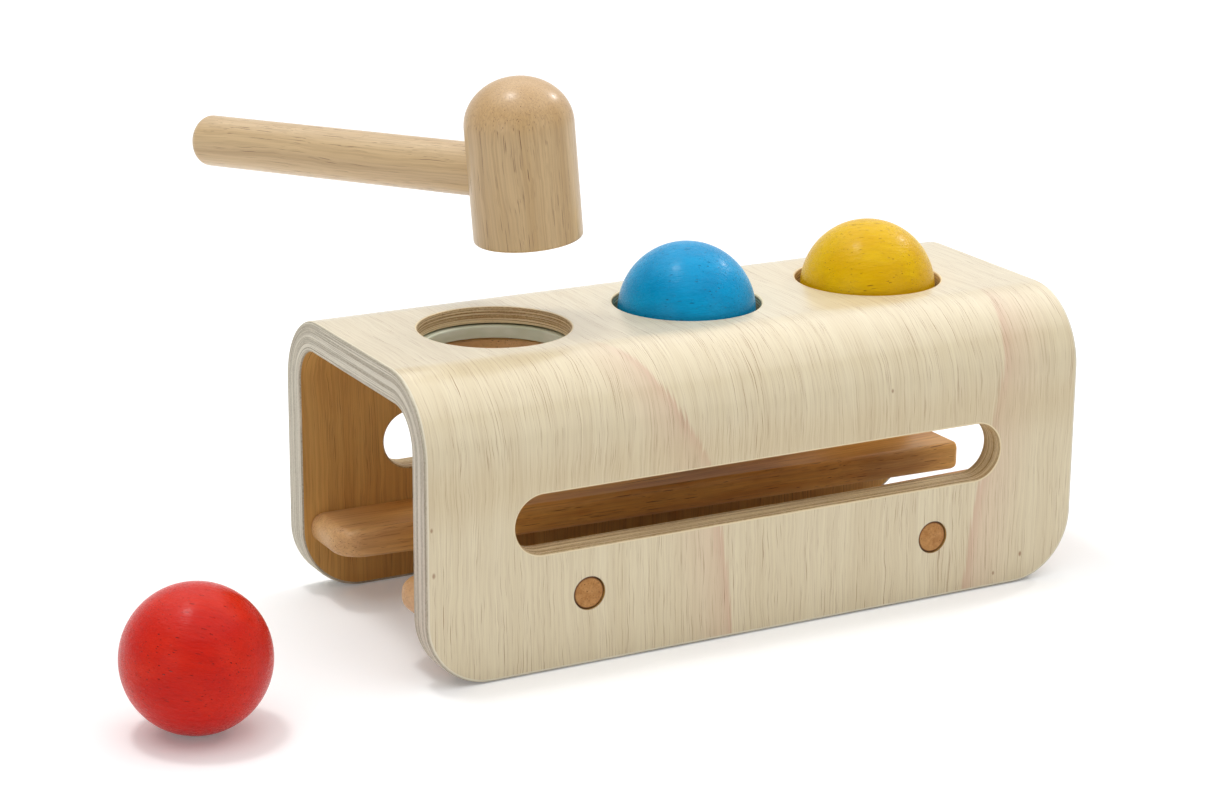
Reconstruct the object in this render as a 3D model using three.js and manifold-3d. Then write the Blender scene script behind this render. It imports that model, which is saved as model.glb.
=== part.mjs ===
// Ball pounding toy: a bent-plywood housing with gripped holes in its top, two tapering rails inside,
// wooden balls and a hammer. Millimetres, +Z up. The origin is on the floor under the middle of the
// housing, +X runs along the housing to the right and +Y to the back.
import * as THREE from 'three';
import { mergeVertices } from 'three/addons/utils/BufferGeometryUtils.js';
import Module from 'manifold-3d';

const wasm = await Module();
wasm.setup();

// Clearance between pieces that fit together, and how far a cut runs past a face
const fitGap = 0.3;
const cutOver = 2;

// Balls, and the room that a ball has in a hole and in a grip ring
const ballDiameter = 47;
const ballHoleClearance = 1.7;
const ringBallClearance = 0.1;

// Housing, a plywood sheet bent to an upside-down U
const housingLength = 246.7;
const housingWidth = 110.9;
const housingHeight = 99.9;
const wallThickness = 10;
const topThickness = 10.9;
const outerBendRadius = 25.7;
const innerBendRadius = 12.5;
const footCornerRadius = 23;
const endRounding = 1.2;

// Holes in the top, in a row along the housing
const holeNames = ['left', 'middle', 'right'];
const holeSpacing = 72.4;
const holeRimChamfer = 0.6;

// Long slot in each side wall
const slotEndMargin = 31.15;
const slotHeight = 19.9;
const slotCentreHeight = 50;

// Rubber grip rings, each in a seat cut into the underside of the top
const ringThickness = 5.2;
const ringLedge = 2.8;
const ringChamfer = 0.8;

// Board that keeps the rings in their seats
const boardThickness = 6;
const boardEndMargin = 8.6;
const boardCornerRadius = 4;
const boardScrewInset = 4.5;
const boardScrewSpread = 48;

// Screws of the board
const boardScrewShank = 3;
const boardScrewHead = 6.4;
const boardScrewHeadHeight = 2.2;
const boardScrewBite = 5.5;

// Rails, level, with a gap between them that widens to the left so that a ball sinks and rolls that way
const railThickness = 10.3;
const railTopHeight = 28.5;
const railLeftInset = 3.55;
const railRightInset = 0.35;
const railGapLeft = 42.6;
const railGapRight = 25;
const railNoseRadius = 10;
const railEdgeRounding = 1.5;

// Screws that hold the rails, and the wooden plugs that hide them
const plugSpacing = 131.8;
const plugLeftHeight = 24.2;
const plugRightHeight = 22.1;
const plugDiameter = 10.6;
const plugHoleDepth = 6;
const plugDome = 0.5;
const railScrewShank = 3.6;
const railScrewHead = 7.2;
const railScrewHeadHeight = 2;
const railScrewBite = 14;

// Cross recess in every screw head, as shares of the head
const recessLength = 0.6;
const recessWidth = 0.15;
const recessDepth = 0.55;

// Hammer
const headDiameter = 36;
const headStraight = 38.1;
const headDome = 15.7;
const headEdgeRounding = 0.8;
const handleDiameter = 17.6;
const handleReach = 142.3;
const handleTenon = 5;
const handleHeight = 21.5;
const handleEndRounding = 5;

// Hammer's place in the air beside the left hole, and its turn
const hammerAlong = 12.6;
const hammerLift = 28.3;
const hammerPitchDegrees = -0.75;
const hammerLeanDegrees = -4.75;
const hammerSwingDegrees = 116;

// Red ball's place on the floor, from the left end and from the middle line
const redBallApart = 73.9;
const redBallForward = 49.5;

// Facets round each kind of curve
const holeFacets = 48;
const bendFacets = 9;
const cornerFacets = 8;
const ballFacets = 32;
const smallFacets = 16;

// Sizes that follow from those above
const ballRadius = ballDiameter / 2;
const holeRadius = ballRadius + ballHoleClearance;
const ringInnerRadius = ballRadius + ringBallClearance;
const ringOuterRadius = holeRadius + ringLedge;
const ringSeatRadius = ringOuterRadius + fitGap;
const underside = housingHeight - topThickness;
const ringBottom = underside + fitGap;
const ringSeatRoof = ringBottom + ringThickness + fitGap;
const insideHalfWidth = housingWidth / 2 - wallThickness;
const rowHalf = ((holeNames.length - 1) / 2) * holeSpacing;
const holeX = holeNames.map((name, i) => i * holeSpacing - rowHalf);
const boardTop = underside - fitGap;
const boardHalfLength = rowHalf + ringSeatRadius + boardEndMargin;
const boardHalfWidth = insideHalfWidth - innerBendRadius - fitGap;
const railLeft = -housingLength / 2 + railLeftInset;
const railRight = housingLength / 2 - railRightInset;
const railTaper = Math.atan2((railGapLeft - railGapRight) / 2, railRight - railLeft);
const railWallSide = insideHalfWidth - fitGap;
const railMiddle = railTopHeight - railThickness / 2;

// A ball at rest sits on the upper inner edge of its ring, one clearance off it
const ringGripHeight = ringBottom + ringThickness - ringChamfer;
const ballRestHeight = ringGripHeight + Math.sqrt((ballRadius + fitGap) ** 2 - ringInnerRadius ** 2);

// Merges the shared vertices of a closed geometry and drops faces of no size
function closed(geometry) {
  const bare = geometry.clone();
  bare.deleteAttribute('normal');
  bare.deleteAttribute('uv');
  const merged = mergeVertices(bare, 1e-4);
  const from = merged.index.array;
  const kept = [];
  for (let i = 0; i < from.length; i += 3) {
    const [a, b, c] = [from[i], from[i + 1], from[i + 2]];
    if (a !== b && b !== c && c !== a) kept.push(a, b, c);
  }
  merged.setIndex(kept);
  return merged;
}

// A closed geometry as a solid for joining and cutting
function solid(geometry) {
  const merged = closed(geometry);
  return new wasm.Manifold(new wasm.Mesh({
    numProp: 3,
    vertProperties: new Float32Array(merged.attributes.position.array),
    triVerts: new Uint32Array(merged.index.array),
  }));
}

// Cuts every tool out of a body and gives the result as a geometry
function cut(body, tools) {
  let left = solid(body);
  for (const tool of tools) left = left.subtract(solid(tool));
  const mesh = left.getMesh();
  const geometry = new THREE.BufferGeometry();
  geometry.setAttribute('position', new THREE.BufferAttribute(new Float32Array(mesh.vertProperties), 3));
  geometry.setIndex(new THREE.BufferAttribute(new Uint32Array(mesh.triVerts), 1));
  return geometry;
}

// A named piece with a material of its own
function piece(name, geometry, color, roughness, metalness = 0) {
  const material = new THREE.MeshStandardMaterial({ color, roughness, metalness });
  const mesh = new THREE.Mesh(closed(geometry), material);
  mesh.geometry.computeVertexNormals();
  mesh.name = name;
  return mesh;
}

// Points along an arc
function arc(cx, cy, rx, ry, from, to, steps) {
  const points = [];
  for (let i = 0; i <= steps; i += 1) {
    const a = THREE.MathUtils.degToRad(from + ((to - from) * i) / steps);
    points.push(new THREE.Vector2(cx + rx * Math.cos(a), cy + ry * Math.sin(a)));
  }
  return points;
}

// A point in a plane
function at(x, y) {
  return new THREE.Vector2(x, y);
}

// A round cutting tool along Z between two heights
function roundZ(radius, low, high, x, y, topRadius = radius) {
  const tool = new THREE.CylinderGeometry(topRadius, radius, high - low, holeFacets);
  return tool.rotateX(Math.PI / 2).translate(x, y, (low + high) / 2);
}

// A round cutting tool along Y between two depths
function roundY(radius, near, far, x, z) {
  const tool = new THREE.CylinderGeometry(radius, radius, Math.abs(far - near), smallFacets);
  return tool.translate(x, (near + far) / 2, z);
}

// An outline in X and Z drawn out along Y, through the whole width of the housing
function acrossWidth(points) {
  const depth = housingWidth + 2 * cutOver;
  const tool = new THREE.ExtrudeGeometry(new THREE.Shape(points), { depth, bevelEnabled: false });
  return tool.rotateX(Math.PI / 2).translate(0, depth / 2, 0);
}

// Places of the screws: pairs between the holes and one at each end of the board
const boardScrewPlaces = [at(screwEnd(-1), 0)];
for (let i = 1; i < holeX.length; i += 1) {
  const x = (holeX[i - 1] + holeX[i]) / 2;
  boardScrewPlaces.push(at(x, -boardScrewSpread / 2), at(x, boardScrewSpread / 2));
}
boardScrewPlaces.push(at(screwEnd(1), 0));

function screwEnd(side) {
  return side * (boardHalfLength - boardScrewInset);
}

const railSides = [
  { name: 'front', side: -1 },
  { name: 'rear', side: 1 },
];
const plugEnds = [
  { name: 'left', x: -plugSpacing / 2, z: plugLeftHeight },
  { name: 'right', x: plugSpacing / 2, z: plugRightHeight },
];

// Housing: the bent section, drawn out along X with softened ends
function housingGeometry() {
  const w = housingWidth / 2;
  const outerY = w - outerBendRadius;
  const outerZ = housingHeight - outerBendRadius;
  const innerY = insideHalfWidth - innerBendRadius;
  const innerZ = underside - innerBendRadius;
  const section = new THREE.Shape([
    at(w, 0),
    ...arc(outerY, outerZ, outerBendRadius, outerBendRadius, 0, 90, bendFacets),
    ...arc(-outerY, outerZ, outerBendRadius, outerBendRadius, 90, 180, bendFacets),
    at(-w, 0),
    at(-insideHalfWidth, 0),
    ...arc(-innerY, innerZ, innerBendRadius, innerBendRadius, 180, 90, bendFacets),
    ...arc(innerY, innerZ, innerBendRadius, innerBendRadius, 90, 0, bendFacets),
    at(insideHalfWidth, 0),
  ]);
  const depth = housingLength - 2 * endRounding;
  const sheet = new THREE.ExtrudeGeometry(section, {
    depth,
    bevelThickness: endRounding,
    bevelSize: endRounding,
    bevelOffset: -endRounding,
    bevelSegments: 2,
  });
  const alongX = new THREE.Matrix4().makeBasis(
    new THREE.Vector3(0, 1, 0),
    new THREE.Vector3(0, 0, 1),
    new THREE.Vector3(1, 0, 0),
  );
  sheet.translate(0, 0, -depth / 2).applyMatrix4(alongX);

  const tools = [];
  for (const side of [-1, 1]) tools.push(acrossWidth(footCorner(side)));
  tools.push(acrossWidth(slotOutline()));
  for (const x of holeX) {
    tools.push(roundZ(holeRadius, underside - cutOver, housingHeight + cutOver, x, 0));
    tools.push(roundZ(ringSeatRadius, underside - cutOver, ringSeatRoof, x, 0));
    tools.push(roundZ(holeRadius, housingHeight - holeRimChamfer, housingHeight + holeRimChamfer, x, 0,
      holeRadius + 2 * holeRimChamfer));
  }
  for (const place of boardScrewPlaces) {
    const top = underside + boardScrewBite + fitGap;
    tools.push(roundZ(boardScrewShank / 2 + fitGap, underside - cutOver, top, place.x, place.y));
  }
  for (const { side } of railSides) {
    for (const { x, z } of plugEnds) {
      const floor = w - plugHoleDepth;
      tools.push(roundY(plugDiameter / 2 + fitGap, side * floor, side * (w + cutOver), x, z));
      tools.push(roundY(railScrewShank / 2 + fitGap, side * (insideHalfWidth - cutOver), side * w, x, z));
    }
  }
  return cut(sheet, tools);
}

// What the rounded lower corner of a side wall leaves out
function footCorner(side) {
  const r = footCornerRadius;
  const end = housingLength / 2;
  const centre = end - r;
  const outline = [
    ...arc(centre, r, r, r, 0, -90, cornerFacets),
    at(centre, -cutOver),
    at(end + cutOver, -cutOver),
    at(end + cutOver, r),
  ];
  return outline.map((p) => at(side * p.x, p.y));
}

// Round-ended slot
function slotOutline() {
  const r = slotHeight / 2;
  const half = housingLength / 2 - slotEndMargin - r;
  return [
    ...arc(half, slotCentreHeight, r, r, -90, 90, 2 * cornerFacets),
    ...arc(-half, slotCentreHeight, r, r, 90, 270, 2 * cornerFacets),
  ];
}

// Grip ring, with both inner edges chamfered
function ringGeometry() {
  const section = [
    at(ringOuterRadius, 0),
    at(ringOuterRadius, ringThickness),
    at(ringInnerRadius + ringChamfer, ringThickness),
    at(ringInnerRadius, ringThickness - ringChamfer),
    at(ringInnerRadius, ringChamfer),
    at(ringInnerRadius + ringChamfer, 0),
    at(ringOuterRadius, 0),
  ];
  return new THREE.LatheGeometry(section, holeFacets).rotateX(Math.PI / 2);
}

// Board with its ball holes and screw holes
function boardGeometry() {
  const r = boardCornerRadius;
  const x = boardHalfLength - r;
  const y = boardHalfWidth - r;
  const outline = new THREE.Shape([
    ...arc(x, y, r, r, 0, 90, cornerFacets / 2),
    ...arc(-x, y, r, r, 90, 180, cornerFacets / 2),
    ...arc(-x, -y, r, r, 180, 270, cornerFacets / 2),
    ...arc(x, -y, r, r, 270, 360, cornerFacets / 2),
  ]);
  for (const hole of holeX) outline.holes.push(ringPath(hole, 0, holeRadius, holeFacets));
  for (const place of boardScrewPlaces) {
    outline.holes.push(ringPath(place.x, place.y, boardScrewShank / 2 + fitGap, smallFacets));
  }
  return new THREE.ExtrudeGeometry(outline, { depth: boardThickness, bevelEnabled: false });
}

function ringPath(x, y, radius, steps) {
  return new THREE.Path(arc(x, y, radius, radius, 360, 0, steps).slice(0, -1));
}

// Screw along Y: the underside of its head at zero, the shank below and the head above
function screwGeometry(shank, head, headHeight, length) {
  const r = shank / 2;
  const h = head / 2;
  const profile = [
    at(0, -length),
    at(r, -length + 2 * shank),
    at(r, 0),
    at(h, 0),
    at(h, headHeight * 0.4),
    at(h * 0.8, headHeight * 0.85),
    at(h * 0.5, headHeight),
    at(0, headHeight),
  ];
  const body = new THREE.LatheGeometry(profile, smallFacets);
  const long = head * recessLength;
  const wide = head * recessWidth;
  const deep = headHeight * recessDepth;
  const middle = headHeight + (cutOver - deep) / 2;
  const bars = [[long, wide], [wide, long]].map(([x, z]) =>
    new THREE.BoxGeometry(x, deep + cutOver, z).translate(0, middle, 0));
  return cut(body, bars);
}

// Rail: a flat tapered bar with softened edges and a rounded inner corner at its left end
function railGeometry(side) {
  const r = railNoseRadius;
  const noseY = railGapLeft / 2 - r * Math.tan(railTaper) + r / Math.cos(railTaper);
  const noseEnd = 270 - THREE.MathUtils.radToDeg(railTaper);
  const plan = [
    at(railLeft, railWallSide),
    ...arc(railLeft + r, noseY, r, r, 180, noseEnd, cornerFacets),
    at(railRight, railGapRight / 2),
    at(railRight, railWallSide),
  ];
  const outline = new THREE.Shape(plan.map((p) => at(p.x, side * p.y)));
  const depth = railThickness - 2 * railEdgeRounding;
  const bar = new THREE.ExtrudeGeometry(outline, {
    depth,
    bevelThickness: railEdgeRounding,
    bevelSize: railEdgeRounding,
    bevelOffset: -railEdgeRounding,
    bevelSegments: 2,
  }).translate(0, 0, -depth / 2);
  const radius = railScrewShank / 2 + fitGap;
  const deepest = railWallSide - railScrewBite - fitGap;
  return cut(bar, plugEnds.map((end) =>
    roundY(radius, side * deepest, side * (railWallSide + cutOver), end.x, end.z - railMiddle)));
}

// Wooden plug along Y, slightly domed at its outer end
const plugLength = plugHoleDepth - railScrewHeadHeight - 2 * fitGap;
function plugGeometry() {
  const r = plugDiameter / 2;
  const shoulder = plugLength - plugDome;
  const dome = arc(0, shoulder, r, plugDome, 0, 90, 3);
  return new THREE.LatheGeometry([at(0, 0), at(r, 0), ...dome.slice(0, -1), at(0, plugLength)], smallFacets);
}

// Hammer head, standing on its face, with the blind hole for the handle
function hammerHeadGeometry() {
  const r = headDiameter / 2;
  const e = headEdgeRounding;
  const edge = arc(r - e, e, e, e, -90, 0, 3);
  const dome = arc(0, headStraight, r, headDome, 0, 90, cornerFacets);
  const profile = [at(0, 0), ...edge, ...dome.slice(0, -1), at(0, headStraight + headDome)];
  const body = new THREE.LatheGeometry(profile, holeFacets / 1.5).rotateX(Math.PI / 2);
  const from = -handleTenon - fitGap;
  const to = r + cutOver;
  const bore = new THREE.CylinderGeometry(handleDiameter / 2 + fitGap, handleDiameter / 2 + fitGap, to - from,
    holeFacets / 2);
  return cut(body, [bore.rotateZ(-Math.PI / 2).translate((from + to) / 2, 0, handleHeight)]);
}

// Hammer handle along X, from inside the head to its rounded free end
function hammerHandleGeometry() {
  const r = handleDiameter / 2;
  const end = arc(0, handleReach - handleEndRounding, r, handleEndRounding, 0, 90, cornerFacets);
  const profile = [at(0, -handleTenon), at(r, -handleTenon), ...end.slice(0, -1), at(0, handleReach)];
  return new THREE.LatheGeometry(profile, holeFacets / 2).rotateZ(-Math.PI / 2);
}

function ballGeometry() {
  return new THREE.SphereGeometry(ballRadius, ballFacets, ballFacets / 2).rotateX(Math.PI / 2);
}

// The toy, put together
const toy = new THREE.Group();
toy.add(piece('housing', housingGeometry(), 0xead9bb, 0.55));

holeNames.forEach((name, i) => {
  const ring = piece(`grip_ring_${name}`, ringGeometry(), 0x9aa195, 0.6);
  ring.position.set(holeX[i], 0, ringBottom);
  toy.add(ring);
});

const board = piece('ring_board', boardGeometry(), 0xb98a58, 0.65);
board.position.z = boardTop - boardThickness;
toy.add(board);

boardScrewPlaces.forEach((place, i) => {
  const seat = boardTop - boardThickness - fitGap;
  const length = underside + boardScrewBite - seat;
  const geometry = screwGeometry(boardScrewShank, boardScrewHead, boardScrewHeadHeight, length);
  const screw = piece(`board_screw_${i + 1}`, geometry, 0xb9b4a8, 0.35, 0.9);
  screw.rotation.x = -Math.PI / 2;
  screw.position.set(place.x, place.y, seat);
  toy.add(screw);
});

for (const { name, side } of railSides) {
  const rail = piece(`rail_${name}`, railGeometry(side), 0xb07a45, 0.5);
  rail.position.z = railMiddle;
  toy.add(rail);
  const floor = housingWidth / 2 - plugHoleDepth;
  for (const end of plugEnds) {
    const length = floor + fitGap - (railWallSide - railScrewBite);
    const geometry = screwGeometry(railScrewShank, railScrewHead, railScrewHeadHeight, length);
    const screw = piece(`rail_screw_${name}_${end.name}`, geometry, 0xb9b4a8, 0.35, 0.9);
    screw.position.set(end.x, side * (floor + fitGap), end.z);
    const plug = piece(`plug_${name}_${end.name}`, plugGeometry(), 0xa06f42, 0.5);
    plug.position.set(end.x, side * (housingWidth / 2 - plugLength), end.z);
    for (const mesh of [screw, plug]) {
      mesh.rotation.z = side > 0 ? 0 : Math.PI;
      toy.add(mesh);
    }
  }
}

// Balls: two held in their holes and one on the floor
const redBallX = -housingLength / 2 - redBallApart;
const ballPlaces = [
  { name: 'ball_blue', color: 0x0a86cc, x: holeX[1], y: 0, z: ballRestHeight },
  { name: 'ball_yellow', color: 0xebc312, x: holeX[2], y: 0, z: ballRestHeight },
  { name: 'ball_red', color: 0xe03423, x: redBallX, y: -redBallForward, z: ballRadius },
];
for (const place of ballPlaces) {
  const ball = piece(place.name, ballGeometry(), place.color, 0.4);
  ball.position.set(place.x, place.y, place.z);
  toy.add(ball);
}

// Hammer, raised over the empty hole with its handle to the back and left
const hammer = new THREE.Group();
const turn = [hammerPitchDegrees, hammerLeanDegrees, hammerSwingDegrees].map(THREE.MathUtils.degToRad);
hammer.position.set(holeX[0] + hammerAlong, 0, housingHeight + hammerLift);
hammer.rotation.set(turn[0], turn[1], turn[2], 'YXZ');
hammer.add(piece('hammer_head', hammerHeadGeometry(), 0xcaa77a, 0.5));
const handle = piece('hammer_handle', hammerHandleGeometry(), 0xcfb088, 0.5);
handle.position.z = handleHeight;
hammer.add(handle);
toy.add(hammer);

export default toy;
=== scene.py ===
import math

import bmesh
import bpy
from mathutils import Matrix, Vector, noise


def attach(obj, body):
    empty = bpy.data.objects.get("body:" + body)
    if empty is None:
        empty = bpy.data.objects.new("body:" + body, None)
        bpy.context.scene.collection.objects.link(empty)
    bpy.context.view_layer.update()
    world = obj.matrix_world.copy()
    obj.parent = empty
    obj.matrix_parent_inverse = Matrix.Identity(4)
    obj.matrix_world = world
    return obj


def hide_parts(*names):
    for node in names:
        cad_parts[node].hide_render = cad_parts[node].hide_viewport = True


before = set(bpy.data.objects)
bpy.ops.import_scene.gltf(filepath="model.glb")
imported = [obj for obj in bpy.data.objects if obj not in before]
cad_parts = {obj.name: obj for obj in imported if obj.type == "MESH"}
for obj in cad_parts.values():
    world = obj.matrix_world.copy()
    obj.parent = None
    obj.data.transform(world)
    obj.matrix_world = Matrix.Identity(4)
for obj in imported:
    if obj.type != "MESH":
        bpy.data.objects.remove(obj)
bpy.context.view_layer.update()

scene = bpy.context.scene
scene.view_settings.view_transform = "Standard"

# Sizes of the toy in millimetres, as in the model's source
MM = 0.001
BALL = 47.0
HOLE_R = 25.2
RING_IN, RING_OUT, RING_T = 23.6, 28.0, 5.2
SEAT_R, SEAT_ROOF = 28.3, 94.3
LONG, WIDE, TALL = 246.7, 110.9, 99.9
WALL, TOP = 10.0, 10.9
BEND_OUT, BEND_IN, FOOT_R = 25.7, 12.5, 23.0
HOLES = {"left": -72.4, "middle": 0.0, "right": 72.4}
SLOT_HALF, SLOT_R, SLOT_Z = 82.25, 9.95, 50.0
UNDER = TALL - TOP
RING_Z = UNDER + 0.3
BOARD_Z, BOARD_T, BOARD_X, BOARD_Y, BOARD_R = 82.7, 6.0, 109.3, 32.65, 4.0
BOARD_SCREWS = [(-104.8, 0), (-36.2, -24), (-36.2, 24), (36.2, -24), (36.2, 24), (104.8, 0)]
BOARD_SCREW = {"shank": 3.0, "head": 6.4, "tall": 2.2}
BOARD_SCREW_LONG = 12.1
RAIL_SCREW = {"shank": 3.6, "head": 7.2, "tall": 2.0}
RAIL_SCREW_BITE = 14
SCREW_GAP = 0.3
RAIL_X0, RAIL_X1, RAIL_Z, RAIL_T = -119.8, 123.0, 28.5, 10.3
RAIL_GAP0, RAIL_GAP1, RAIL_NOSE, RAIL_WALL = 21.3, 12.5, 10.0, 45.15
PLUGS = {"left": (-65.9, 24.2), "right": (65.9, 22.1)}
PLUG_R, PLUG_DEEP, PLUG_LONG = 5.3, 6.0, 3.4
REST_Z = 96.78
RED_X, RED_Y = -197.25, -49.5
HEAD_R, HEAD_STRAIGHT, HEAD_DOME = 18.0, 38.1, 15.7
HANDLE_R, HANDLE_LONG, HANDLE_TENON, HANDLE_Z = 8.8, 142.3, 5.0, 21.5
HAMMER_AT = (-59.8, 0.0, 128.2)
HAMMER_X, HAMMER_Y, HAMMER_Z = -0.75, -4.75, 116.0

# Cutting tools: how far they reach past a surface, and the holes for the screws
PAST = 4
PAST_WALLS = 60
TOP_CUT = (86, 104)
BOARD_CUT = (80, 92)
PILOT_R, PILOT_TOP, SHAFT_R, LOOSE = 1.8, 94.8, 2.1, 0.3


def turned(degrees, axis):
    return Matrix.Rotation(math.radians(degrees), 4, axis)


def facing(way):
    return Vector(way).to_track_quat("Z", "Y").to_matrix().to_4x4()


# Camera, from the outlines in the photograph
CAMERA_AT = (-0.496255, -0.869096, 0.366803)
CAMERA_AZIMUTH, CAMERA_ELEVATION, CAMERA_ROLL = -28.3031, 16.8021, 0.4294


def aim(azimuth, elevation, roll):
    a, e, r = (math.radians(v) for v in (azimuth, elevation, roll))
    back = Vector((math.sin(a) * math.cos(e), -math.cos(a) * math.cos(e), math.sin(e)))
    right = Vector((math.cos(a), math.sin(a), 0))
    up = back.cross(right)
    x = math.cos(r) * right + math.sin(r) * up
    y = -math.sin(r) * right + math.cos(r) * up
    return Matrix((x, y, back)).transposed().to_4x4()


camera = bpy.data.objects.new("camera", bpy.data.cameras.new("camera"))
scene.collection.objects.link(camera)
camera.data.lens = 89.936
camera.data.sensor_width = 36
camera.data.clip_end = 50
camera.matrix_world = (Matrix.Translation(CAMERA_AT)
                       @ aim(CAMERA_AZIMUTH, CAMERA_ELEVATION, CAMERA_ROLL))
scene.camera = camera

# Ranges of a noise: its middle, and nearly all of it
MIDDLE = (0.3, 0.7)
FULL = (0.2, 0.8)
# Places of the colour sockets on a mix node
COLOR_A, COLOR_B, COLOR_OUT = 6, 7, 2


# Material with a principled shader, and short names for the nodes that feed it
class Tree:
    def __init__(self, name):
        self.material = bpy.data.materials.new(name)
        self.material.use_nodes = True
        self.tree = self.material.node_tree
        self.tree.nodes.clear()
        self.out = self.new("OutputMaterial")
        self.shader = self.new("BsdfPrincipled")
        self.link(self.shader.outputs[0], self.out.inputs[0])

    def new(self, kind):
        return self.tree.nodes.new("ShaderNode" + kind)

    def link(self, source, target):
        self.tree.links.new(source, target)

    def put(self, socket, value):
        if isinstance(value, bpy.types.NodeSocket):
            self.link(value, socket)
        elif isinstance(value, (tuple, list)) and len(value) == 3 and socket.type == "RGBA":
            socket.default_value = (*value, 1)
        else:
            socket.default_value = value

    def grain(self):
        node = self.new("Attribute")
        node.attribute_name = "grain"
        return node.outputs["Vector"]

    def split(self, vector):
        node = self.new("SeparateXYZ")
        self.put(node.inputs[0], vector)
        return node.outputs

    def join(self, *parts):
        node = self.new("CombineXYZ")
        for socket, part in zip(node.inputs, parts):
            self.put(socket, part)
        return node.outputs[0]

    def scaled(self, vector, scale, shift=(0, 0, 0)):
        node = self.new("Mapping")
        self.put(node.inputs["Vector"], vector)
        node.inputs["Scale"].default_value = scale
        node.inputs["Location"].default_value = shift
        return node.outputs[0]

    def noise(self, vector, detail=2.0, rough=0.5):
        node = self.new("TexNoise")
        self.put(node.inputs["Vector"], vector)
        node.inputs["Scale"].default_value = 1.0
        node.inputs["Detail"].default_value = detail
        node.inputs["Roughness"].default_value = rough
        return node.outputs["Fac"]

    # Thin spindles along the third axis, each with its own size and strength; across and along
    # are the size of a cell in millimetres, size is the spindle's share of it, and flat ones
    # lie in a sheet
    def pores(self, vector, across, along, size, shift=(0, 0, 0), flat=False):
        if flat:
            x, _, way = self.split(vector)
            place = self.scaled(self.join(x, way), (1 / across, 1 / along, 1), shift)
        else:
            place = self.scaled(vector, stretch(across, along), shift)
        node = self.new("TexVoronoi")
        node.voronoi_dimensions = "2D" if flat else "3D"
        node.inputs["Scale"].default_value = 1.0
        self.put(node.inputs["Vector"], place)
        chance = self.split(node.outputs["Color"])
        own_size = self.math("MULTIPLY_ADD", chance[0], 0.9, 0.45)
        reach = self.math("DIVIDE", node.outputs["Distance"], own_size)
        spindle = self.fit(reach, size * 0.55, size, 1.0, 0.0)
        return self.times(spindle, self.fit(chance[1], 0.0, 1.0, 0.3, 1.0))

    # Smooth step of a value between low and high, to a new range
    def fit(self, value, low, high, to_low=0.0, to_high=1.0):
        node = self.new("MapRange")
        node.interpolation_type = "SMOOTHSTEP"
        self.put(node.inputs["Value"], value)
        keys = ("From Min", "From Max", "To Min", "To Max")
        for key, v in zip(keys, (low, high, to_low, to_high)):
            node.inputs[key].default_value = v
        return node.outputs[0]

    def math(self, kind, a, b=0.0, c=None):
        node = self.new("Math")
        node.operation = kind
        self.put(node.inputs[0], a)
        self.put(node.inputs[1], b)
        if c is not None:
            self.put(node.inputs[2], c)
        return node.outputs[0]

    def plus(self, a, b):
        return self.math("ADD", a, b)

    def minus(self, a, b):
        return self.math("SUBTRACT", a, b)

    def times(self, a, b):
        return self.math("MULTIPLY", a, b)

    def size(self, a):
        return self.math("ABSOLUTE", a)

    def length(self, a, b):
        return self.math("SQRT", self.plus(self.times(a, a), self.times(b, b)))

    # A noise made to swing by half the amount to either side of zero
    def swing(self, value, amount):
        return self.math("MULTIPLY_ADD", value, amount, -amount / 2)

    def mix(self, fac, a, b):
        node = self.new("Mix")
        node.data_type = "RGBA"
        self.put(node.inputs[0], fac)
        self.put(node.inputs[COLOR_A], a)
        self.put(node.inputs[COLOR_B], b)
        return node.outputs[COLOR_OUT]

    def bump(self, height, distance, strength):
        node = self.new("Bump")
        node.inputs["Distance"].default_value = distance
        node.inputs["Strength"].default_value = strength
        self.put(node.inputs["Height"], height)
        return node.outputs[0]

    def finish(self, color, rough, normal=None, **constants):
        self.put(self.shader.inputs["Base Color"], color)
        self.put(self.shader.inputs["Roughness"], rough)
        if normal is not None:
            self.put(self.shader.inputs["Normal"], normal)
        for key, value in constants.items():
            socket = key.replace("_", " ").title().replace("Ior", "IOR")
            self.put(self.shader.inputs[socket], value)
        return self.material


# Linear colour from the usual 0 to 255 values
def rgb(*values):
    shares = (v / 255 for v in values)
    return tuple(c / 12.92 if c <= 0.04045 else ((c + 0.055) / 1.055) ** 2.4 for c in shares)


# Noise scale for cells of this size in millimetres across and along the grain
def stretch(across, along):
    return (1 / across, 1 / across, 1 / along)


# Wood: noise scales, and how far in millimetres the grain sways and quivers
BEND_SCALE, SWAY = (0.03, 0.03, 0.016), 7.0
WIGGLE_SCALE, QUIVER = (0.3, 0.3, 0.14), 0.9
FIBRES, PATCHES, BREAKS = stretch(0.6, 45), stretch(14, 70), stretch(0.9, 8)
PORE_STEP = (3.7, 1.3, 5.1)
PORE_DEPTH = 0.05
# Streaks: the way along the sheet at which x is given and the one above which the slant
# changes, the ways, counted negative, over which they fade out towards the top, and the
# strengths of their two layers
STREAK_AT, STREAK_TURN = 95, 83.0
STREAK_ENDS = (-52.0, -24.0)
STREAK_LEAST, STREAK_BROAD, STREAK_CORE = 0.45, 0.45, 0.75
STREAK_SCALE, STREAK_SEED = (0.09, 0.09, 1 / 50), (3.1, 1.7)
TIP_STRENGTH = 0.65
# Darker ring round each plug where it meets its hole: radius, width of its fading edge, and
# strength
DARK_RING_R, DARK_RING_WIDE, DARK_RING_STRENGTH = 5.6, 0.2, 0.9
KNOT_SQUEEZE = 0.6
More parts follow.
